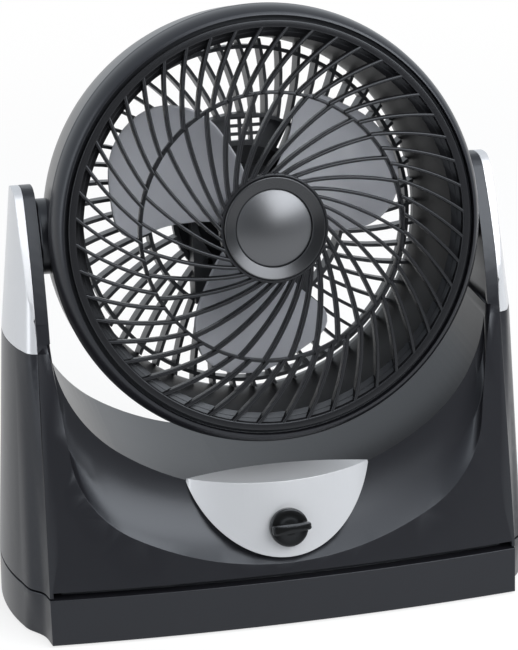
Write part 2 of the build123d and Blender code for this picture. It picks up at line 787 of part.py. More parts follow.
def tray_box(inset, front, rear):
    """Upright box round the motor between two depths, drawn in by an inset all round."""
    height = tray_top - tray_bottom - 2 * inset
    middle = (tray_top + tray_bottom) / 2
    return Pos(0, middle, -(front + rear) / 2) * Box(2 * (tray_half - inset), height, rear - front)


rear_holes = windows(rear_angle, rear_plate_radius, rear_mid_radius, rear_inner_ribs, rear_rib_width)
outer_start = 360 / rear_outer_ribs / 2
for low, high in (
    (rear_mid_radius + rear_ring_width, rear_ring_radius),
    (rear_ring_radius + rear_ring_width, rear_rim_inner),
):
    rear_holes += windows(rear_angle, low, high, rear_outer_ribs, rear_rib_width, outer_start)
rear_front = -rear_grille_depth
rear_grille = pierced(rear_rim_outer, rear_holes, rear_front - rear_rib_depth, -rear_rib_front)
rear_grille -= disc(rear_rim_outer + 1, rear_rib_front - 1, rear_grille_depth, rear_rib_limit)
rear_grille -= disc(rear_plate_radius, rear_rib_front - 1, rear_grille_depth)
rim_seat = drum_rear_depth - drum_wall - fit
rear_grille -= disc(rear_rim_outer + 1, rim_seat, rim_seat + 20, rear_rim_inner + 1.9)
rear_grille -= disc(rear_plate_radius - 1.5, rear_grille_depth + rear_plate_wall, 120)
vent_rear = rear_grille_depth + rear_plate_wall
vent_sector = disc(rear_mid_radius + 1, rear_grille_depth, vent_rear, rear_plate_radius - 1)
sector_space = disc(rear_mid_radius + 0.4, rear_rib_front - 1, rear_grille_depth + 0.5, rear_plate_radius - 0.4)
sector_cut = Polyline(
    (0, 0), polar(140, vent_start), polar(150, (vent_start + vent_end) / 2), polar(140, vent_end), close=True
)
sector_wedge = Pos(0, 0, -120) * extrude(make_face(sector_cut), 60, dir=(0, 0, 1))
rear_grille -= sector_space & sector_wedge
rear_grille += vent_sector & sector_wedge
for slot in vent_holes():
    rear_grille -= Pos(0, 0, -rear_grille_depth - 1.2) * slot
motor_screw_spots = [polar(motor_screw_circle, 45 + 90 * k) for k in range(motor_screw_count)]
tray = tray_box(0, tray_front, tray_rear) - tray_box(tray_wall, tray_front + tray_wall, tray_rear + 5)
tray -= disc(motor_flange_radius + 0.4, rear_grille_depth - 2.2, 110)
rear_grille += tray
rear_grille -= disc(motor_radius + 1.0, 60, rear_grille_depth - 1)
rear_grille -= disc(motor_radius + 0.3, 60, 110)
for x, y in motor_screw_spots:
    rear_grille -= Pos(x, y, -rear_grille_depth) * Cylinder(screw_radius + 0.15, 20)
    rear_grille -= Pos(x, y, 0) * disc(screw_head_radius + 0.6, tray_front - 1, tray_front + tray_wall + 1)


# ---------------------------------------------------------------- motor
shield_wall = motor_wall
flange_front = rear_grille_depth - fit - shield_wall
front_shield = turned_points(
    (shaft_radius + 3.5, motor_front),
    (motor_radius, motor_front),
    (motor_radius, flange_front),
    (motor_flange_radius, flange_front),
    (motor_flange_radius, flange_front + shield_wall),
    (motor_radius - shield_wall, flange_front + shield_wall),
    (motor_radius - shield_wall, motor_front + shield_wall),
    (bush_radius + 2.0, motor_front + shield_wall),
    (bush_radius + 2.0, motor_front + 4.4),
    (bush_radius + 0.1, motor_front + 4.4),
    (bush_radius + 0.1, motor_front + shield_wall),
    (shaft_radius + 3.5, motor_front + shield_wall),
)
rear_shield_front = rear_grille_depth + rear_plate_wall + fit
rear_shield = turned_points(
    (motor_radius - shield_wall, rear_shield_front),
    (motor_flange_radius, rear_shield_front),
    (motor_flange_radius, rear_shield_front + shield_wall),
    (motor_radius, rear_shield_front + shield_wall),
    (motor_radius, motor_rear),
    (bush_radius + 0.1, motor_rear),
    (bush_radius + 0.1, motor_rear - shield_wall),
    (motor_radius - shield_wall, motor_rear - shield_wall),
)
cover_front = rear_shield_front + shield_wall + fit
cover_profile = [
    Polyline(
        at_depth(0, cover_rear - cover_wall),
        at_depth(0, cover_rear),
        at_depth(cover_radius - 12, cover_rear - 0.8),
    ),
    ThreePointArc(
        at_depth(cover_radius - 12, cover_rear - 0.8),
        at_depth(cover_radius - 5.4, cover_rear - 3.6),
        at_depth(cover_radius - 2, cover_rear - 9.5),
    ),
    Polyline(
        at_depth(cover_radius - 2, cover_rear - 9.5),
        at_depth(cover_radius - 1, cover_front + 1.6),
        at_depth(cover_radius + 1.6, cover_front + 1.6),
        at_depth(cover_radius + 1.6, cover_front),
        at_depth(cover_radius - 1 - cover_wall, cover_front),
        at_depth(cover_radius - 2 - cover_wall, cover_rear - 9.5),
    ),
    ThreePointArc(
        at_depth(cover_radius - 2 - cover_wall, cover_rear - 9.5),
        at_depth(cover_radius - 6.8, cover_rear - 5.0),
        at_depth(cover_radius - 12.6, cover_rear - 0.8 - cover_wall),
    ),
    Line(at_depth(cover_radius - 12.6, cover_rear - 0.8 - cover_wall), at_depth(0, cover_rear - cover_wall)),
]
rear_cover = turned(cover_profile)
screw_holes = [Pos(x, y, -90) * Cylinder(screw_radius + 0.15, 60) for x, y in motor_screw_spots]
for hole in screw_holes:
    front_shield -= hole
    rear_shield -= hole
parts["motor_front_shield"] = in_head(front_shield)
parts["motor_rear_shield"] = in_head(rear_shield)
parts["motor_rear_cover"] = in_head(rear_cover)
motor_screw = screw(rear_shield_front + shield_wall - flange_front - 0.2, 2.8)
parts["motor_screws"] = in_head(Compound([
    Pos(x, y, 0.05 - flange_front) * motor_screw for x, y in motor_screw_spots
]))
stator = disc(stator_radius, stator_front, stator_rear, stator_bore)
for k in range(12):
    stator -= Rot(0, 0, 30 * k) * Pos(stator_bore + 4, 0, -80) * Box(5, 3.4, 60)
parts["stator_core"] = in_head(stator)
coil_ends = [
    disc(coil_radius, coil_front, stator_front - 0.05, coil_bore),
    disc(coil_radius, stator_rear + 0.05, coil_rear, coil_bore),
]
parts["stator_winding"] = in_head(Compound(coil_ends))
rotor_bore = shaft_radius + 0.02
parts["rotor_core"] = in_head(disc(rotor_radius, stator_front, stator_rear, rotor_bore))
parts["motor_shaft"] = in_head(disc(shaft_radius, shaft_front, shaft_rear))
bush_bore = shaft_radius + shaft_fit
parts["bush_front"] = in_head(
    disc(bush_radius, motor_front + shield_wall + 0.05, stator_front - 0.4, bush_bore)
)
parts["bush_rear"] = in_head(disc(bush_radius, motor_rear - shield_wall - 2.0, motor_rear + 2.4, bush_bore))


# ---------------------------------------------------------------- blade
def paddle_strip(u):
    """Thin curved section across a paddle, twisted by its distance u from the axis."""
    share = (u - 65) / 50
    slope = 0.15 * share - 0.2
    middle = -paddle_depth - 2.8 * share
    spots = [(-paddle_half, 0), (0, paddle_bow), (paddle_half, 0)]
    front = [(u, v, middle + slope * v - bow) for v, bow in spots]
    back = [(x, v, z - paddle_thickness) for x, v, z in front]
    return Wire([
        ThreePointArc(*front),
        Line(front[2], back[2]),
        ThreePointArc(*reversed(back)),
        Line(back[0], front[0]),
    ])


paddle_sheet = Solid.make_loft([paddle_strip(12), paddle_strip(116)], True)
paddle_corners = [
    (12, -14), (24.3, -26.8), (40.9, -36.8), (57.3, -44.6), (76.8, -45.8), (95.2, -36.8), (104.9, -19.1),
    (106.4, 0.0), (101.1, 17.4), (91.7, 32.9), (84.0, 43.5), (75.0, 48.6), (67.5, 47.6), (60.5, 41.6),
    (51.7, 32.3), (40.5, 23.9), (26.0, 15.5), (12, 11),
]
paddle_outline = make_face([Spline(*paddle_corners), Line(paddle_corners[-1], paddle_corners[0])])
paddle = paddle_sheet & (Pos(0, 0, -120) * extrude(paddle_outline, 130, dir=(0, 0, 1)))
hub_cup = disc(hub_cup_radius, hub_cup_front, hub_cup_rear)
hub_cup = fillet(hub_cup.edges().group_by(Axis.Z)[-1], 3)
hub_hollow = disc(hub_cup_radius - hub_cup_wall, hub_cup_front + 2, hub_cup_rear + 1)
hub_boss = disc(boss_radius, hub_cup_front + 1, hub_cup_rear)
blade = hub_cup
for k in range(paddle_count):
    blade += Rot(0, 0, first_paddle + 360 / paddle_count * k) * paddle
blade -= hub_hollow
blade += hub_boss
blade -= disc(shaft_radius + 0.02, 30, 80)
parts["fan_blade"] = in_head(blade)
nut_body = disc(7.0, shaft_front + 0.8, hub_cup_front - fit)
nut_body = fillet(nut_body.edges().group_by(Axis.Z)[-1], 1.0)
parts["blade_nut"] = in_head(nut_body - disc(shaft_radius + 0.02, 30, 44))


# ---------------------------------------------------------------- front grille hub, fixings, pivots
hub_ring_bore = hub_disc_radius + 0.15
hub_ring_foot = -hub_seat - 2.2
hub_ring = turned([
    Polyline(
        at_depth(hub_ring_bore, hub_ring_foot),
        at_depth(hub_ring_bore, -hub_front + 2.6),
        at_depth(hub_disc_radius + 1.6, -hub_front + 2.2),
    ),
    ThreePointArc(
        at_depth(hub_disc_radius + 1.6, -hub_front + 2.2),
        at_depth(hub_disc_radius + 5.0, -hub_front + 0.9),
        at_depth(hub_radius - 0.8, -hub_front),
    ),
    Polyline(
        at_depth(hub_radius - 0.8, -hub_front),
        at_depth(hub_radius, -hub_front + 0.8),
        at_depth(hub_radius, -hub_seat - fit),
        at_depth(hub_ring_bore, -hub_seat - fit),
        at_depth(hub_ring_bore, hub_ring_foot),
    ),
])
parts["hub_ring"] = in_head(hub_ring)
dome_edge = hub_front - 1.6
hub_dome = turned([
    Line(at_depth(0, -hub_seat - fit), at_depth(0, -hub_dome_front)),
    ThreePointArc(
        at_depth(0, -hub_dome_front),
        at_depth(hub_disc_radius * 0.6, -hub_dome_front + 0.9),
        at_depth(hub_disc_radius, -dome_edge),
    ),
    Polyline(
        at_depth(hub_disc_radius, -dome_edge),
        at_depth(hub_disc_radius, -hub_seat - fit),
        at_depth(0, -hub_seat - fit),
    ),
])
parts["hub_dome"] = in_head(hub_dome)

grille_screw_spots = [polar(grille_screw_circle, 45 + 90 * k) for k in range(4)]
for x, y in grille_screw_spots:
    hole = Pos(x, y, 0) * disc(small_screw_radius + screw_clearance, 1.6, 20)
    front_grille -= hole
    bezel -= hole
    duct -= hole
grille_screw = screw(duct_flange_depth - 2.4, small_head_radius, small_screw_radius, small_head)
parts["grille_screws"] = in_head(Compound([
    Pos(x, y, -duct_flange_depth - 0.05) * Rot(180, 0, 0) * grille_screw for x, y in grille_screw_spots
]))
parts["front_grille"] = in_head(front_grille)
parts["front_bezel"] = in_head(bezel)
parts["air_duct"] = in_head(duct)

rear_screw_spots = [polar(rear_screw_circle, 45 + 90 * k) for k in range(4)]
drum_holes = [Pos(x, y, 0) * disc(small_screw_radius + screw_clearance, 80, 100) for x, y in rear_screw_spots]
for hole in drum_holes:
    rear_grille -= hole
    drum -= hole
parts["rear_grille"] = in_head(rear_grille)
parts["head_drum"] = in_head(drum)
rear_screw = Rot(180, 0, 0) * screw(4.6, small_head_radius, small_screw_radius, small_head)
parts["rear_grille_screws"] = in_head(Compound([
    Pos(x, y, -drum_rear_depth - 0.05) * rear_screw for x, y in rear_screw_spots
]))

for side, name in ((1, "right"), (-1, "left")):
    flange_x = drum_mid_radius - drum_wall - 4.3
    pin_end = inner_half + wall + 9.5
    pin = bar_x(pin_radius, side * flange_x, side * pin_end)
    flange = bar_x(pin_head_radius, side * flange_x, side * (flange_x + pin_head))
    parts["pivot_pin_" + name] = pin + flange
    washer_x = inner_half + wall + 0.1 + bush_flange + pivot_gap
    washer = bar_x(pin_head_radius, side * washer_x, side * (washer_x + washer_wall))
    parts["friction_washer_" + name] = washer - bar_x(pin_radius + 0.05, side * 140, side * 170)
    nut_x = washer_x + washer_wall + pivot_gap
    nut_blank = bar_x(nut_radius, side * nut_x, side * (nut_x + nut_width))
    parts["pivot_nut_" + name] = nut_blank - bar_x(pin_radius + thread_fit, side * 140, side * 170)

for name, piece in parts.items():
    piece.label = name
    export_step(piece, "parts/" + name + ".step")
print(len(parts), "nodes written")
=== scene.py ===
# %% [markdown]
# # A tilting air circulator fan
# A glossy black U-shaped stand holds a round head on two side pivots. The head is a barrel with a
# swirled grille in front, three broad grey paddles inside and a second grille behind. The first
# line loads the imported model: every piece made below sits in that model's own place, in metres.

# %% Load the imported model
import json
from math import cos, pi, radians, sin
import bpy
import numpy as np
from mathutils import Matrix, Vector


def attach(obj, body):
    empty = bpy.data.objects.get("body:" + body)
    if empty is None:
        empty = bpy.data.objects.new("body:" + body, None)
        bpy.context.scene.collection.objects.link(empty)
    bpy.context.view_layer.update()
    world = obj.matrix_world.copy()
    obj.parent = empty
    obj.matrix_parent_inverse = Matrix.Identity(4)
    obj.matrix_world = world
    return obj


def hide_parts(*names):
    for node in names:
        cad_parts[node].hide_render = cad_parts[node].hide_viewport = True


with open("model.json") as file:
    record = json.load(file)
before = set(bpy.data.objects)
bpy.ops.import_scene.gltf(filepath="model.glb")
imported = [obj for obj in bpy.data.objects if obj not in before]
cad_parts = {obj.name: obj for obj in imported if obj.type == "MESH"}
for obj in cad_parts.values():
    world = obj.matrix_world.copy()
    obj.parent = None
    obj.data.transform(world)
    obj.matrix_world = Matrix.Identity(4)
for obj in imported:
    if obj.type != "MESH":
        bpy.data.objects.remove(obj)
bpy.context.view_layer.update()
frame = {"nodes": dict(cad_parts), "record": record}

# %% [markdown]
# ## The camera
# The photograph was taken from a little to the left and above. A long lens about 1.6 metres away
# gives the same weak perspective, so the near plinth corner stays only slightly larger than the top.

# %% Camera at the photograph's place
scene = bpy.context.scene
eye = Vector((-0.3804, -1.5189, 0.8058))
target = Vector((-0.02069, -0.0750, 0.21578))
camera_data = bpy.data.cameras.new("camera")
camera_data.lens = 138.5
camera_data.sensor_width = 36.0
camera_data.clip_end = 20.0
camera = bpy.data.objects.new("camera", camera_data)
camera.location = eye
camera.rotation_euler = (target - eye).to_track_quat("-Z", "Y").to_euler()
scene.collection.objects.link(camera)
scene.camera = camera
scene.view_settings.view_transform = "Standard"
print("camera distance", round((target - eye).length, 3))

# %% [markdown]
# ## Shader maths
# A finish is a recipe of nodes. It could be wired by hand in the node editor, but written as plain
# arithmetic it reads like a recipe: `Value` wraps a number socket, and adding or multiplying two of
# them adds the Math node that does it.

# %% A small language for shaders
class Value:
    """A number in a material: arithmetic on it adds Math nodes."""

    def __init__(self, finish, socket):
        self.finish, self.socket = finish, socket

    def maths(self, operation, first, second):
        """One Math node."""
        return self.finish.add("ShaderNodeMath", {"operation": operation}, {0: first, 1: second}, 0)

    def __add__(self, other): return self.maths("ADD", self, other)
    def __radd__(self, other): return self.maths("ADD", other, self)
    def __sub__(self, other): return self.maths("SUBTRACT", self, other)
    def __rsub__(self, other): return self.maths("SUBTRACT", other, self)
    def __mul__(self, other): return self.maths("MULTIPLY", self, other)
    def __rmul__(self, other): return self.maths("MULTIPLY", other, self)


class Finish:
    """One material: `add` makes any node, `surface` sets the plastic or metal itself."""

    def __init__(self, name):
        self.material = bpy.data.materials.new(name)
        self.material.use_nodes = True
        self.tree = self.material.node_tree
        self.shader = self.tree.nodes["Principled BSDF"]
        self.place = self.add("ShaderNodeTexCoord", {}, {}, "Object")

    def add(self, kind, settings, inputs, output=0):
        """Any node: its settings come first, then the values or links of its sockets."""
        node = self.tree.nodes.new(kind)
        for key, value in settings.items():
            setattr(node, key, value)
        for key, value in inputs.items():
            self.feed(node.inputs[key], value)
        return Value(self, node.outputs[output])

    def feed(self, socket, value):
        """Links a Value to a socket, or sets a plain number or colour on it."""
        if isinstance(value, Value):
            self.tree.links.new(value.socket, socket)
        else:
            socket.default_value = value

    def noise(self, scale, detail=2.0, roughness=0.5):
        """Cloudy noise, fixed to the piece: a scale of 100 gives blots about a centimetre wide."""
        values = {"Vector": self.place, "Scale": scale, "Detail": detail, "Roughness": roughness}
        return self.add("ShaderNodeTexNoise", {}, values, 0)

    def mix(self, factor, first, second):
        """The first colour where the factor is 0, the second where it is 1."""
        values = {0: factor, 6: first, 7: second}
        return self.add("ShaderNodeMix", {"data_type": "RGBA"}, values, 2)

    def bump(self, height, distance, strength=1.0):
        """A relief whose height from 0 to 1 stands for a distance in metres."""
        values = {"Height": height, "Distance": distance, "Strength": strength}
        return self.add("ShaderNodeBump", {}, values, 0)

    def surface(self, **sockets):
        """Feeds the shader's own sockets, named with _ for a space, and gives the material."""
        for name, value in sockets.items():
            self.feed(self.shader.inputs[name.replace("_", " ")], value)
        return self.material


def rgb(red, green, blue):
    """A colour in linear light, with full cover."""
    return (red, green, blue, 1.0)


print("shader helpers ready")

# %% [markdown]
# ## Moulded plastics
# Nearly all of the fan is injection moulded. A polished mould leaves a mirror-like skin that is
# never perfectly flat: there is a faint orange peel a few millimetres wide, and broad sink marks.
# Roughness wanders a little with handling. The same recipe with other numbers gives the satin
# inner parts, the semi-gloss grilles and the grey blades.

# %% Plastic recipe
def moulded(name, tone, roughness, coat=0.0, peel=0.00002, peel_scale=260.0, spread=0.05, shine=0.36,
            metallic=0.0):
    """Plastic with orange peel bump, wandering roughness and a slight drift of colour."""
    finish = Finish(name)
    cloud = finish.noise(14.0, 3.0)
    skin = finish.noise(peel_scale, 1.0)
    fine = finish.noise(2600.0, 2.0)
    lighter = tuple(min(1.0, part * 1.12) for part in tone[:3]) + (1.0,)
    darker = tuple(part * 0.9 for part in tone[:3]) + (1.0,)
    relief = skin * 0.8 + fine * 0.2
    return finish.surface(
        Base_Color=finish.mix(cloud, darker, lighter),
        Roughness=roughness + (cloud - 0.5) * spread + (fine - 0.5) * spread * 0.5,
        Normal=finish.bump(relief, peel),
        Coat_Weight=coat,
        Coat_Roughness=0.06,
        Specular_IOR_Level=shine,
        Specular_Tint=rgb(0.86, 0.92, 1.0),
        Metallic=metallic,
    )


print("plastic recipe ready")

# %% [markdown]
# Each plastic is a line of numbers for that recipe. The hub's badge and its dish are plated, so they
# are nearly all metal; the dish is given a darker grey than the badge, which is painted shade. The
# paler black is for the rear grille, which stands in the dark behind the blades and would sink into
# one flat patch there if it were as black as the shell: its paler tone is painted light.

# %% The plastics
plastics = {
    "black_gloss": dict(tone=rgb(0.008, 0.008, 0.010), roughness=0.3, shine=0.4),
    "black_satin": dict(
        tone=rgb(0.010, 0.010, 0.011), roughness=0.42, peel=0.00003, peel_scale=900.0, shine=0.16),
    "grille_black": dict(
        tone=rgb(0.009, 0.009, 0.010), roughness=0.26, peel=0.00001, peel_scale=500.0, shine=0.3),
    # Painted light: a paler copy of the shell's black, standing in for light that the dim rear grille
    # lacks.
    "paler_black_painted_light": dict(tone=rgb(0.040, 0.041, 0.044), roughness=0.4, peel_scale=700.0, shine=0.4),
    "hub_grey": dict(
        tone=rgb(0.120, 0.124, 0.132), roughness=0.36, peel=0.00001, peel_scale=400.0, metallic=0.95),
    # Painted shade: the dish gets a darker copy of the badge's grey, for the darker reflections its slopes
    # should show.
    "ring_grey_painted_shade": dict(
        tone=rgb(0.060, 0.062, 0.066), roughness=0.28, peel=0.00001, peel_scale=400.0, metallic=0.95),
    "blade_grey": dict(
        tone=rgb(0.46, 0.47, 0.51), roughness=0.42, coat=0.15, peel=0.00001, peel_scale=300.0),
    "knob_black": dict(
        tone=rgb(0.004, 0.004, 0.004), roughness=0.22, peel=0.00001, peel_scale=700.0, shine=0.3),
    "nylon": dict(tone=rgb(0.62, 0.60, 0.55), roughness=0.5, peel_scale=700.0),
    "rubber": dict(
        tone=rgb(0.018, 0.018, 0.018), roughness=0.75, peel=0.00006, peel_scale=1200.0, spread=0.08),
    "winding": dict(
        tone=rgb(0.42, 0.14, 0.05), roughness=0.3, coat=0.6, peel=0.0001, peel_scale=1500.0),
}
looks = {name: moulded(name, **recipe) for name, recipe in plastics.items()}
print("plastics:", len(looks))

# %% [markdown]
# ## Silver paint and metals
# The caps and the panel are plastic sprayed with silver: tiny flakes under a clear coat. A cell
# pattern a fraction of a millimetre wide tilts the tone from flake to flake. Screws, pins and the
# motor are bare or plated metal, brushed around by the tool that made them.

# %% Silver and metal recipes
def silver_paint(name):
    """Silver paint: flakes change the tone and roughness under a clear coat."""
    finish = Finish(name)
    flakes = finish.add("ShaderNodeTexVoronoi", {}, {"Vector": finish.place, "Scale": 6000.0}, "Color")
    level = finish.add("ShaderNodeSeparateColor", {}, {"Color": flakes}, 0)
    cloud = finish.noise(10.0, 2.0)
    tone = finish.mix(level * 0.25 + cloud * 0.5, rgb(0.48, 0.49, 0.51), rgb(0.55, 0.56, 0.58))
    return finish.surface(
        Base_Color=tone,
        Metallic=0.45,
        Roughness=0.34 + (level - 0.5) * 0.04,
        Coat_Weight=0.25,
        Coat_Roughness=0.1,
        Normal=finish.bump(finish.noise(220.0, 1.0), 0.00001),
    )


def metal(name, tone, roughness, stretch=(1.0, 1.0, 60.0)):
    """Plated or turned metal: a stretched noise gives tool marks."""
    finish = Finish(name)
    lines = finish.add("ShaderNodeMapping", {}, {"Vector": finish.place, "Scale": stretch}, 0)
    marks = finish.add("ShaderNodeTexNoise", {}, {"Vector": lines, "Scale": 90.0, "Detail": 3.0}, 0)
    dark = tuple(c * 0.8 for c in tone[:3]) + (1.0,)
    return finish.surface(
        Base_Color=finish.mix(marks, dark, tone),
        Metallic=1.0,
        Roughness=roughness + (marks - 0.5) * 0.15,
        Normal=finish.bump(marks, 0.00002),
    )


looks["silver_trim"] = silver_paint("silver_trim")
looks["steel"] = metal("steel", rgb(0.55, 0.56, 0.58), 0.3)
looks["bronze"] = metal("bronze", rgb(0.52, 0.36, 0.18), 0.4)
looks["lamination"] = metal("lamination", rgb(0.28, 0.29, 0.31), 0.45, (1.0, 900.0, 1.0))
print("finishes:", sorted(looks))

# %% [markdown]
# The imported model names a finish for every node, hidden ones included. The screws, the motor, the
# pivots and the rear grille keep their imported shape, and only take on their metal or plastic here.

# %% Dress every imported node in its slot's finish
slot_of = {part["node"]: part["material_slot"] for part in frame["record"]["subparts"]}
for name, node in frame["nodes"].items():
    node.data.materials.clear()
    node.data.materials.append(looks[slot_of[name]])
# The rear grille takes the paler black, which is painted light for the shade it stands in.
frame["nodes"]["rear_grille"].data.materials[0] = looks["paler_black_painted_light"]
print("dressed", len(slot_of), "nodes")

# %% [markdown]
# ## Surfaces from numbers
# Every new piece is a grid of points worked out with numpy. A grid becomes faces by numbering its
# corners, and a side that closes on itself joins its last line to its first. Poles and seams are
# then welded, and edges sharper than a set angle stay crisp while the rest shades as one.

# %% Grids of points become meshes
import bmesh


def sheet(grid, wrap_rows=False, wrap_cols=False):
    """Points and four-cornered faces of a grid shaped (rows, cols, 3), or of many such grids at once."""
    grid = np.asarray(grid, float)
    rows, cols = grid.shape[-3:-1]
    row = np.arange(rows if wrap_rows else rows - 1)[:, None]
    col = np.arange(cols if wrap_cols else cols - 1)[None, :]
    next_row, next_col = (row + 1) % rows, (col + 1) % cols
    ring = [row * cols + col, row * cols + next_col, next_row * cols + next_col, next_row * cols + col]
    faces = np.stack(ring, -1).reshape(1, -1, 4)
    points = grid.reshape(-1, 3)
    offsets = np.arange(len(points) // (rows * cols)) * rows * cols
    return points, (faces + offsets[:, None, None]).reshape(-1, 4)


def tidy_mesh(mesh, crease):
    """Welds doubled points, turns faces outwards and keeps edges above the crease angle sharp."""
    work = bmesh.new()
    work.from_mesh(mesh)
    bmesh.ops.remove_doubles(work, verts=work.verts, dist=2e-6)
    bmesh.ops.recalc_face_normals(work, faces=work.faces)
    work.to_mesh(mesh)
    work.free()
    mesh.shade_smooth()
    mesh.set_sharp_from_angle(angle=radians(crease))


print("grids and welding ready")

# %% [markdown]
# A finished piece is one object made of one or several sheets. It rides on a body of the model, hides
# the imported nodes it stands for, and may get a wall and rounded edges from modifiers, so that a
# surface drawn without thickness still ends as a solid thing.

# %% Sheets become pieces
def piece(name, sheets, body, slot_name, replaced=(), crease=38.0, thick=0.0, bevel=0.0):
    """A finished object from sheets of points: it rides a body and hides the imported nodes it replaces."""
    starts = np.cumsum([0] + [len(points) for points, faces in sheets[:-1]])
    points = np.concatenate([points for points, faces in sheets])
    faces = np.concatenate([faces + start for (_, faces), start in zip(sheets, starts)])
    mesh = bpy.data.meshes.new(name)
    mesh.from_pydata(points.tolist(), [], faces.tolist())
    tidy_mesh(mesh, crease)
    mesh.materials.append(looks[slot_name])
    made = bpy.data.objects.new(name, mesh)
    scene.collection.objects.link(made)
    if thick:
        wall = made.modifiers.new("wall", "SOLIDIFY")
        wall.thickness, wall.offset = thick / 1000.0, -1.0
    if bevel:
        edge = made.modifiers.new("edge", "BEVEL")
        edge.width, edge.segments, edge.limit_method = bevel / 1000.0, 2, "ANGLE"
        edge.angle_limit = radians(crease)
    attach(made, body)
    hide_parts(*replaced)
    print(name, len(mesh.polygons), "faces")
    return made


print("piece maker ready")

# %% [markdown]
# ## The head's own place
# The whole head was drawn on its own axis: across, up, and depth behind the front grille's ring.
# It leans back by 12 degrees. One function carries those numbers, in millimetres, to the frame.

# %% From head sizes to the frame
lean = radians(12.0)
ring_y, ring_z = -30.5, 264.8
pivot_depth = 50.0


def in_head(across, up, depth):
    """Head millimetres to frame metres: y = ring_y + up sin(lean) + depth cos(lean), z likewise."""
    across, up, depth = np.broadcast_arrays(across, up, depth)
    y = ring_y + up * sin(lean) + depth * cos(lean)
    z = ring_z + up * cos(lean) - depth * sin(lean)
    return np.stack([across, y, z], -1) / 1000.0


print("grille ring centre", in_head(0.0, 0.0, 0.0).round(4))

# %% [markdown]
# Most of the head is turned: a section is drawn once and carried round the axis. A lathe tool would
# do the same in a mesh editor, but here the section stays a short list of measured corners, and each
# corner can be rounded by its own amount.

# %% Sections and turning
def soften(corners, reach, steps=5):
    """Rounds a closed profile: each corner C becomes (1-t)^2 A + 2t(1-t) C + t^2 B, a reach each way."""
    corners = np.asarray(corners, float)
    reach = np.broadcast_to(np.asarray(reach, float), (len(corners),))[:, None]

    def pulled(other):
        way = other - corners
        length = np.linalg.norm(way, axis=1, keepdims=True)
        return corners + way / length * np.minimum(reach, length * 0.48)

    start, end = pulled(np.roll(corners, 1, 0)), pulled(np.roll(corners, -1, 0))
    t = np.linspace(0.0, 1.0, steps)[None, :, None]
    curve = (1 - t) ** 2 * start[:, None] + 2 * t * (1 - t) * corners[:, None] + t**2 * end[:, None]
    return curve.reshape(-1, 2)


def bend(first, middle, last, steps=10):
    """Parabola from first to last through the middle point."""
    first, middle, last = (np.asarray(p, float) for p in (first, middle, last))
    t = np.linspace(0.0, 1.0, steps)[:, None]
    pull = 2 * middle - (first + last) / 2
    return (1 - t) ** 2 * first + 2 * t * (1 - t) * pull + t**2 * last


def turned(profile, around=180):
    """Profile of (radius, depth) carried round the head's axis: (r cos a, r sin a, depth)."""
    profile = np.asarray(profile, float)
    angle = np.linspace(0.0, 2 * pi, around, endpoint=False)
    radius, depth = profile[:, :1], profile[:, 1:]
    return in_head(radius * np.cos(angle), radius * np.sin(angle), depth)


print("a turned ring of", turned([(1.0, 0.0)]).shape[1], "points")

# %% [markdown]
# ## Bezel and drum
# The head's shell is two mouldings. The bezel is a gloss ring with a soft outward slope that ends in
# a thin lip, and the drum behind it is a barrel that draws in towards the back. Both are turned
# shapes, so a section of a few measured corners, each rounded by its own amount, is carried round.

# %% Bezel
bezel_slope = bend((138.2, 0.0), (142.7, 6.4), (144.7, 15.9), 12)
bezel_section = np.concatenate([
    soften([(145.0, 16.4), (145.0, 18.4), (142.4, 18.4), (140.0, 7.6), (127.6, 7.6), (127.6, 5.4),
            (137.5, 5.4), (137.5, 0.0)], [0.5, 0.6, 0.4, 0.5, 0.4, 0.4, 0.8, 0.6]),
    bezel_slope[1:-1],
])
bezel_sheet = sheet(turned(bezel_section, 240), True, True)
piece("bezel", [bezel_sheet], "head", "black_gloss", ["front_bezel"])

# %% [markdown]
# The drum also carries two round bosses on the tilt axis, which the pivot pins go through. They are
# turned about the pivots instead of the head's axis, and meet the stand's uprights with a small
# running gap. A boolean could join them to the barrel, but it would only roughen the faces along the
# seam, so their walls simply pass through each other.

# %% Drum with its pivot bosses
drum_outside = np.concatenate([
    bend((144.0, 18.6), (143.75, 32.0), (143.2, 45.0), 6),
    bend((143.2, 45.0), (140.7, 68.0), (135.6, 83.4), 14)[1:],
    bend((135.6, 83.4), (133.3, 87.2), (129.3, 88.3), 8)[1:],
])
drum_inside = [
    (122.4, 88.3), (122.4, 85.9), (128.5, 85.9), (132.5, 82.8), (138.2, 68.0), (140.8, 45.0), (141.6, 18.6),
]
drum_section = np.concatenate([drum_outside, soften(drum_inside, 0.5)])


def pivot_boss(side, profile, around=72):
    """Profile of (radius, distance out) carried round the tilt axis: depth 50 + r sin a, up r cos a."""
    profile = np.asarray(profile, float)
    angle = np.linspace(0.0, 2 * pi, around, endpoint=False)
    radius, out = profile[:, :1], profile[:, 1:]
    return in_head(side * out + 0 * angle, radius * np.cos(angle), pivot_depth + radius * np.sin(angle))


boss_section = soften([(6.1, 138.0), (6.1, 148.6), (25.0, 148.6), (25.0, 138.0)], [0.2, 0.4, 1.6, 0.2], 6)
drum_sheets = [sheet(turned(drum_section, 240), True, True)]
drum_sheets += [sheet(pivot_boss(side, boss_section), True, True) for side in (1, -1)]
piece("drum", drum_sheets, "head", "black_gloss", ["head_drum"])

# %% [markdown]
# ## The duct
# A thin cone inside the drum carries the air from the blades to the front. Its mouth is a satin
# black wall seen between the ribs, darker than the shell because little light gets in. It is turned
# from six corners, and its collar at the front lies just behind the bezel's inner shelf.

# %% Duct
duct_corners = [(127.6, 7.75), (134.0, 7.75), (134.0, 9.5), (129.2, 9.5), (122.0, 82.3), (120.4, 82.3)]
duct_section = soften(duct_corners, 0.4)
piece("duct", [sheet(turned(duct_section, 180), True, True)], "head", "black_satin", ["air_duct"])

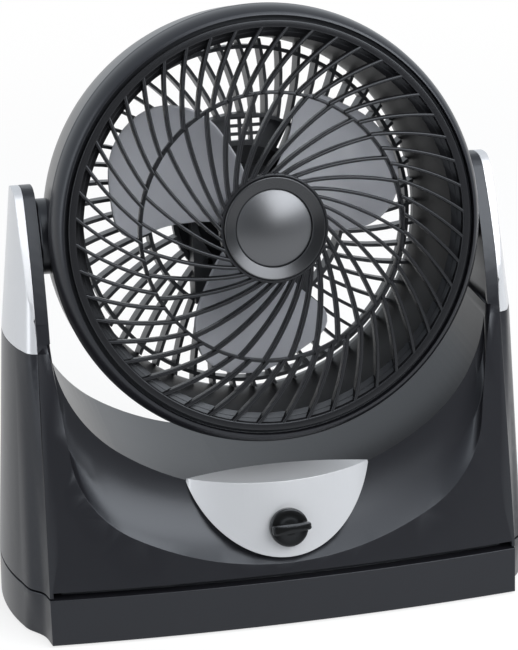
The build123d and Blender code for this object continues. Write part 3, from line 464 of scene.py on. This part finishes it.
# %% [markdown]
# ## The swirled front grille
# Thirty-two ribs leave the hub and curl away like a log spiral. At the middle ring forty-eight
# others take over and swirl the same way out to the rim. The grille domes forward by a few
# millimetres. A bevelled curve with an array round the hub could make the ribs, but a bevel turns
# with its curve. Here one small section, rounded in front, is carried along each spiral and stays
# square to the grille, as a mould that opens forwards needs.

# %% Swirls and ribs
rib_start, middle_radius, ring_inner = 34.0, 88.0, 129.7


def rise(radius):
    """Height of the dome in front of the rim: it falls with the square of the way out."""
    return 4.7 * (1 - ((radius - rib_start) / (ring_inner - rib_start)) ** 2)


def inner_swirl(radius):
    """Degrees turned by an inner rib: a log spiral plus a quick curl near the hub."""
    return -(32.1 * np.log(radius / rib_start) + 10.0 * (1 - np.exp(-(radius - rib_start) / 12.0)))


def outer_swirl(radius):
    """Degrees turned by an outer rib: a log spiral from the middle ring."""
    return -42.6 * np.log(radius / middle_radius)


def ribs(swirl, inner, outer, count, start, section, front, steps=18):
    """Ribs as (count, steps, section, 3): along each spiral the section stands square to it."""
    radius = np.linspace(inner, outer, steps)
    turn = np.radians(swirl(radius))
    path = np.stack([radius * np.cos(turn), radius * np.sin(turn)], -1)
    way = np.gradient(path, axis=0)
    way /= np.linalg.norm(way, axis=1, keepdims=True)
    across = np.stack([-way[:, 1], way[:, 0]], -1)
    section = np.asarray(section, float)
    flat = path[:, None] + across[:, None] * section[None, :, :1]
    depth = section[None, :, 1] - front(radius)[:, None]
    spin = np.radians(start) + np.arange(count)[:, None, None] * 2 * pi / count
    x = flat[..., 0] * np.cos(spin) - flat[..., 1] * np.sin(spin)
    up = flat[..., 0] * np.sin(spin) + flat[..., 1] * np.cos(spin)
    return in_head(x, up, depth)


def closed_ends(grids):
    """Adds a first and last row at the middle of the section, so that each rib is a closed bar."""
    ends = [grids[..., [k], :, :].mean(-2, keepdims=True) + 0 * grids[..., [k], :, :] for k in (0, -1)]
    return np.concatenate([ends[0], grids, ends[1]], -3)


rib_half = np.array([(0.65, 0.12), (1.05, 0.5), (1.16, 1.1), (0.95, 7.9)])
rib_section = np.concatenate([[(0.0, 0.0)], rib_half, rib_half[::-1] * (-1, 1)])
inner_ribs = closed_ends(ribs(inner_swirl, 35.0, middle_radius, 32, 0.0, rib_section, rise, 20))
outer_ribs = closed_ends(ribs(outer_swirl, middle_radius, 130.2, 48, 1.9, rib_section, rise, 14))
print("ribs:", len(inner_ribs) + len(outer_ribs))

# %% [markdown]
# Three turned rings hold the ribs: a thin one where the swirl changes, the rim that sits in the bezel,
# and the seat round the hub. All of it is one moulding, so the ribs and rings are one piece here.

# %% Rings, rim and hub seat
middle_ring = soften([(86.9, -1.4), (89.1, -1.2), (89.1, 4.6), (86.9, 4.8)], 0.6)
rim = soften(
    [(129.7, 0.0), (134.7, 0.0), (134.7, 5.3), (127.0, 5.3), (123.7, 7.4), (129.7, 4.0)],
    [1.0, 1.0, 0.3, 0.3, 0.2, 0.3],
)
seat = soften(
    [(0.001, 1.0), (34.2, 1.0), (34.2, -4.8), (36.0, -4.6), (36.0, 3.3), (0.001, 3.2)],
    [0.0001, 0.2, 0.4, 0.6, 0.4, 0.0001],
)
grille = [sheet(inner_ribs, False, True), sheet(outer_ribs, False, True)]
grille += [sheet(turned(section, 180), True, True) for section in (middle_ring, rim, seat)]
piece("swirl_grille", grille, "head", "grille_black", ["front_grille"], 50.0)

# %% [markdown]
# ## Hub ring and dome
# At the grille's middle sits a round badge with nothing on it: a dished ring that falls inwards and
# a domed disc inside. The dish and the dome lean opposite ways, so one is bright where the other is
# dark. Both are turned, and the dome is a parabola, which shades without a flat spot or a peak.

# %% Hub badge
dish_section = soften(
    [(25.75, 1.0), (25.75, -3.2), (26.5, -3.6), (33.2, -6.1), (33.9, -5.4), (33.9, 0.9)],
    [0.1, 0.2, 0.6, 0.5, 0.5, 0.2],
)
dish = piece("hub_dish", [sheet(turned(dish_section, 144), True, True)], "head", "hub_grey", ["hub_ring"])
# The dish takes the darker grey, which is painted shade.
dish.data.materials[0] = looks["ring_grey_painted_shade"]
dome_edge, dome_front, dome_fall = 25.2, -7.75, 5.4
dome_radius = np.linspace(0.0, dome_edge, 26)
dome = np.stack([dome_radius, dome_front + dome_fall * (dome_radius / dome_edge) ** 2], -1)
skirt = np.array([(25.5, -2.1), (25.6, -1.8), (25.6, 0.9), (0.0, 0.9)])
dome_sheet = sheet(turned(np.concatenate([dome, skirt]), 144), False, True)
piece("hub_disc", [dome_sheet], "head", "hub_grey", ["hub_dome"])

# %% [markdown]
# ## The blades
# Three broad paddles grow out of a cup. Each could be a flat shape bent by hand, but a patch stretched
# between four edges, root, leading edge, tip and trailing edge, keeps its outline exact and its grid
# even. Two helpers come first: a smooth curve through points, and the patch between four such curves.

# %% Curves and patches
def spline(points, steps):
    """Natural cubic curve through points, spaced by chord: second slopes from one linear system."""
    points = np.asarray(points, float)
    t = np.concatenate([[0], np.cumsum(np.linalg.norm(np.diff(points, axis=0), axis=1))])
    h = np.diff(t)
    n = len(t)
    system = np.eye(n)
    inner = np.arange(1, n - 1)
    system[inner, inner - 1] = h[:-1]
    system[inner, inner] = 2 * (h[:-1] + h[1:])
    system[inner, inner + 1] = h[1:]
    slopes = np.diff(points, axis=0) / h[:, None]
    right = np.zeros_like(points)
    right[1:-1] = 6 * np.diff(slopes, axis=0)
    bends = np.linalg.solve(system, right)
    at = np.linspace(0, t[-1], steps)
    k = np.clip(np.searchsorted(t, at) - 1, 0, n - 2)
    a, b, w = (t[k + 1] - at)[:, None], (at - t[k])[:, None], h[k][:, None]
    curve = (bends[k] * a**3 + bends[k + 1] * b**3) / (6 * w)
    straight = (points[k] / w - bends[k] * w / 6) * a + (points[k + 1] / w - bends[k + 1] * w / 6) * b
    return curve + straight


def coons(root, lead, tip, trail):
    """Patch between four edges: the two ruled sheets added, less the sheet through the corners."""
    v = np.linspace(0, 1, len(root))[None, :, None]
    u = np.linspace(0, 1, len(lead))[:, None, None]
    ruled = (1 - u) * root[None] + u * tip[None] + (1 - v) * lead[:, None] + v * trail[:, None]
    corners = (1 - u) * ((1 - v) * root[0] + v * root[-1]) + u * ((1 - v) * tip[0] + v * tip[-1])
    return ruled - corners


print("a curve through three points:", spline([(0, 0), (1, 1), (2, 0)], 5)[:, 1].round(2))

# %% [markdown]
# The outline is eighteen points of the paddle seen along the shaft, with its root inside the cup. The
# surface's depth leans across the paddle, which is the pitch that pushes the air, twists a little on
# the way out and bows as a scoop does. The same paddle is set round the shaft three times.

# %% Paddles
outline = [
    (12, -14), (24.3, -26.8), (40.9, -36.8), (57.3, -44.6), (76.8, -45.8), (95.2, -36.8), (104.9, -19.1),
    (106.4, 0), (101.1, 17.4), (91.7, 32.9), (84, 43.5), (75, 48.6), (67.5, 47.6), (60.5, 41.6),
    (51.7, 32.3), (40.5, 23.9), (26, 15.5), (12, 11),
]
tip_from, tip_to = 4, 12
patch_steps = 33
whole = spline(outline, 601)
near = [int(np.argmin(np.hypot(*(whole - outline[k]).T))) for k in (tip_from, tip_to)]
edges = [whole[: near[0] + 1], whole[near[0] : near[1] + 1], whole[near[1] :][::-1]]
lead, tip, trail = [edge[np.linspace(0, len(edge) - 1, patch_steps).round().astype(int)] for edge in edges]
root = np.linspace(whole[0], whole[-1], patch_steps)
patch = coons(root, lead, tip, trail)
along, side_way = patch[..., 0], patch[..., 1]
paddle_middle, paddle_half = 65.0, 50.0
share = (along - paddle_middle) / paddle_half
pitch = 0.15 * share - 0.2
bow = 11.5 * (1 - (side_way / paddle_half) ** 2)
height = 48.0 + 2.8 * share - pitch * side_way + bow
paddles = []
for start in (30.0, 150.0, 270.0):
    c, s = cos(radians(start)), sin(radians(start))
    paddles.append(sheet(in_head(along * c - side_way * s, along * s + side_way * c, height)))
piece("paddles", paddles, "rotor", "blade_grey", ["fan_blade"], 40.0, 2.2, 0.5)

# %% [markdown]
# The cup in the middle carries the paddles. It is a turned shell with a sleeve for the shaft, and
# hides the front of the motor.

# %% Cup
cup_corners = [
    (4.1, 42.0), (24.0, 42.0), (24.0, 66.0), (22.2, 66.0),
    (22.2, 44.0), (8.0, 44.0), (8.0, 66.0), (4.1, 66.0),
]
cup_section = soften(cup_corners, [0.3, 3.2, 0.6, 0.6, 1, 1, 0.4, 0.4], 6)
piece("blade_cup", [sheet(turned(cup_section, 96), True, True)], "rotor", "blade_grey", ["fan_blade"])

# %% [markdown]
# ## Stand mouldings
# The stand's mouldings were cut from solids: a drawn-in block, less a round saddle for the head and
# a scooped front. Copies of those solids are welded here, so that each curved face shades as one, and
# their sharp edges get a small round, because a real mould edge always catches a thin line of light.
# The stand's own round is the smallest, since its long thin faces would fold under a wider one.

# %% Welded and rounded copies
def moulding(name, nodes, slot_name, body="stand", bevel=0.45, crease=28.0):
    """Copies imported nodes, welds their triangles, flattens them into larger faces and rounds edges."""
    work = bmesh.new()
    for node in nodes:
        work.from_mesh(frame["nodes"][node].data)
    bmesh.ops.remove_doubles(work, verts=work.verts, dist=2e-6)
    bmesh.ops.dissolve_degenerate(work, edges=work.edges, dist=2e-6)
    flat = dict(angle_limit=radians(0.3), use_dissolve_boundaries=False)
    bmesh.ops.dissolve_limit(work, verts=work.verts, edges=work.edges, **flat)
    mesh = bpy.data.meshes.new(name)
    work.to_mesh(mesh)
    work.free()
    mesh.shade_smooth()
    mesh.set_sharp_from_angle(angle=radians(crease))
    mesh.materials.append(looks[slot_name])
    made = bpy.data.objects.new(name, mesh)
    scene.collection.objects.link(made)
    if bevel:
        edge = made.modifiers.new("edge", "BEVEL")
        edge.width, edge.segments, edge.limit_method = bevel / 1000.0, 2, "ANGLE"
        edge.angle_limit = radians(crease + 4)
        edge.use_clamp_overlap = False
        edge.harden_normals = True
    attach(made, body)
    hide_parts(*nodes)
    print(name, len(mesh.polygons), "faces")
    return made


moulding("stand_front", ["stand_shell"], "black_gloss", bevel=0.15)
moulding("plinth_tray", ["plinth"], "black_gloss")
moulding("stand_back", ["back_cover"], "black_satin", bevel=0.3)
moulding("cap_left", ["side_cap_left"], "silver_trim", bevel=0.4)
moulding("cap_right", ["side_cap_right"], "silver_trim", bevel=0.4)
moulding("panel_pod", ["control_panel"], "silver_trim", bevel=0.2)

# %% [markdown]
# ## The speed knob
# A round gloss skirt with a bar to grip. The bar runs right across and stands out a little past the
# skirt on one side, which is the pointer. Both are drawn on the knob's own axis, square to the panel.

# %% The knob's own place
knob_z, panel_top, panel_front, panel_lean = 68.5, 97.8, -63.0, 0.307
knob_y = panel_front - panel_lean * (panel_top - knob_z)
knob_tilt = np.arctan2(panel_lean, 1.0)


def on_knob(across, up, out):
    """Knob millimetres to frame metres: out points away from the panel, up lies in it."""
    across, up, out = np.broadcast_arrays(across, up, out)
    y = knob_y + up * sin(knob_tilt) - out * cos(knob_tilt)
    z = knob_z + up * cos(knob_tilt) + out * sin(knob_tilt)
    return np.stack([across, y, z], -1) / 1000.0


print("knob centre", on_knob(0.0, 0.0, 0.0).round(4))

# %% [markdown]
# The skirt is turned. The bar is a rounded box: a superellipse, whose cosine and sine are raised to a
# small power so that it fills its corners, stacked in levels that draw in towards the top.

# %% Knob
around = np.linspace(0, 2 * pi, 120, endpoint=False)
skirt_side = soften([(13.0, 0.6), (13.0, 5.5), (0.001, 5.9), (0.001, 0.6)], [0.3, 1.6, 0.0001, 0.0001], 8)
skirt_radius, skirt_out = skirt_side[:, :1], skirt_side[:, 1:]
skirt_ring = on_knob(skirt_radius * np.cos(around), skirt_radius * np.sin(around), skirt_out)
levels = np.array([(1.0, 4.6), (1.0, 8.6), (0.985, 9.8), (0.93, 10.5), (0.82, 10.78), (0.0, 10.8)])
scale, out = levels[:, :1], levels[:, 1:]
turn = np.linspace(0, 2 * pi, 96, endpoint=False)
squareness = 0.35
bar_x = np.sign(np.cos(turn)) * np.abs(np.cos(turn)) ** squareness
bar_y = np.sign(np.sin(turn)) * np.abs(np.sin(turn)) ** squareness
bar_half = 3.4 - 0.5 * bar_x
length = 12.4 + 1.4 * np.clip(bar_x, 0, 1)
flat_x = scale * bar_x * length
flat_y = scale**1.5 * bar_y * bar_half
bar_turn = radians(3.0)
grip_x = flat_x * cos(bar_turn) - flat_y * sin(bar_turn)
grip_y = flat_x * sin(bar_turn) + flat_y * cos(bar_turn)
grip = on_knob(grip_x, grip_y, out)
foot = grip[:1] * 0 + grip[:1].mean(1, keepdims=True)
knob_sheets = [sheet(skirt_ring, True, True), sheet(np.concatenate([foot, grip]), False, True)]
piece("dial", knob_sheets, "knob", "knob_black", ["speed_knob"], 40.0)

# %% [markdown]
# ## The studio
# Three soft lamps. Gloss black shows nothing but reflections, so the lamps are large pale cards: a
# tall one at the left draws the soft light on the left upright and in the scoop, a broad one in front
# at the right lights the hub, the panel and the grille, and a weaker one overhead fills the top.

# %% Lamps
def lamp(name, place, aim, width, height, power):
    """A soft rectangular lamp at a place, facing the aim, in metres and watts."""
    data = bpy.data.lights.new(name, "AREA")
    data.shape = "RECTANGLE"
    data.size, data.size_y, data.energy = width, height, power
    light = bpy.data.objects.new(name, data)
    light.location = place
    light.rotation_euler = (Vector(aim) - Vector(place)).to_track_quat("-Z", "Y").to_euler()
    scene.collection.objects.link(light)


lamp("lamp_left", (-1.7, -0.5, 0.8), (0.0, 0.0, 0.22), 1.3, 1.6, 13.0)
lamp("lamp_front_right", (0.95, -1.3, 1.4), (0.0, 0.0, 0.25), 1.7, 1.2, 38.0)
lamp("lamp_top", (0.3, -0.5, 1.6), (0.0, 0.0, 0.1), 1.3, 0.9, 8.0)
print("lamps:", len(bpy.data.lights))

# %% [markdown]
# The world is white to the camera. In reflections it is white too, but for the dim part of the room
# in front of the fan, and it is a little cooler and dimmer as a light. Light Path tells which kind of
# ray is asking, and Map Range turns that answer, or a direction, into a strength.

# %% World
world = bpy.data.worlds.new("studio")
scene.world = world
world.use_nodes = True
nodes, links = world.node_tree.nodes, world.node_tree.links
rays = nodes.new("ShaderNodeLightPath")
background = nodes["Background"]


def either(first, second):
    """1 where one of two ray kinds is met."""
    node = nodes.new("ShaderNodeMath")
    node.operation = "MAXIMUM"
    links.new(first, node.inputs[0])
    links.new(second, node.inputs[1])
    return node.outputs[0]


def graded(value, low, high, start=0.0, end=1.0):
    """A number that goes smoothly from low to high while the value goes from start to end."""
    node = nodes.new("ShaderNodeMapRange")
    node.interpolation_type = "SMOOTHSTEP"
    settings = {"From Min": start, "From Max": end, "To Min": low, "To Max": high}
    for key, amount in settings.items():
        if isinstance(amount, float):
            node.inputs[key].default_value = amount
        else:
            links.new(amount, node.inputs[key])
    links.new(value, node.inputs["Value"])
    return node.outputs[0]


way = nodes.new("ShaderNodeTexCoord")
facing = nodes.new("ShaderNodeVectorMath")
facing.operation = "DOT_PRODUCT"
facing.inputs[1].default_value = Vector((0.1, -0.99, 0.05)).normalized()
links.new(way.outputs["Generated"], facing.inputs[0])
room = graded(facing.outputs["Value"], 1.0, 0.14, 0.3, 0.9)
mirrored = either(rays.outputs["Is Glossy Ray"], rays.outputs["Is Transmission Ray"])
level = graded(rays.outputs["Is Camera Ray"], graded(mirrored, 0.6, room), 1.0)
links.new(level, background.inputs["Strength"])
cool = nodes.new("ShaderNodeMix")
cool.data_type = "RGBA"
cool.inputs[6].default_value = rgb(0.90, 0.95, 1.0)
cool.inputs[7].default_value = rgb(1.0, 1.0, 1.0)
links.new(rays.outputs["Is Camera Ray"], cool.inputs[0])
links.new(cool.outputs[2], background.inputs["Color"])
print("world nodes:", len(nodes))

# %% [markdown]
# The floor is a pale sheet that keeps the fan's shadow. For camera rays and for rays mirrored in the
# gloss, most of it glows white, and wholly so further out, so that it runs into the background
# without a horizon. For the light that falls on the fan it is only a pale floor.

# %% Floor
reach = 4.0
floor_corners = [(-reach, -reach, 0), (reach, -reach, 0), (reach, reach, 0), (-reach, reach, 0)]
floor_mesh = bpy.data.meshes.new("floor")
floor_mesh.from_pydata(floor_corners, [], [(0, 1, 2, 3)])
floor = bpy.data.objects.new("floor", floor_mesh)
scene.collection.objects.link(floor)
pale = Finish("floor_paint")
pale.surface(Base_Color=rgb(0.85, 0.85, 0.85), Roughness=0.7)
ray = pale.tree.nodes.new("ShaderNodeLightPath")
seen, glossy, through = [
    Value(pale, ray.outputs[kind]) for kind in ("Is Camera Ray", "Is Glossy Ray", "Is Transmission Ray")
]
shown = pale.add("ShaderNodeMath", {"operation": "MINIMUM"}, {0: seen + glossy + through, 1: 1.0}, 0)
far = pale.add("ShaderNodeVectorMath", {"operation": "LENGTH"}, {0: pale.place}, 1)
near_edge, far_edge, near_glow, far_glow = 0.35, 1.6, 0.75, 1.0
fade_range = {0: far, 1: near_edge, 2: far_edge, 3: near_glow, 4: far_glow}
fade = pale.add("ShaderNodeMapRange", {"interpolation_type": "SMOOTHSTEP"}, fade_range, 0)
glow = pale.tree.nodes.new("ShaderNodeEmission")
blend = pale.tree.nodes.new("ShaderNodeMixShader")
pale.feed(blend.inputs[0], shown * fade)
pale.tree.links.new(pale.shader.outputs[0], blend.inputs[1])
pale.tree.links.new(glow.outputs[0], blend.inputs[2])
pale.tree.links.new(blend.outputs[0], pale.tree.nodes["Material Output"].inputs["Surface"])
floor_mesh.materials.append(pale.material)
print("stage set")
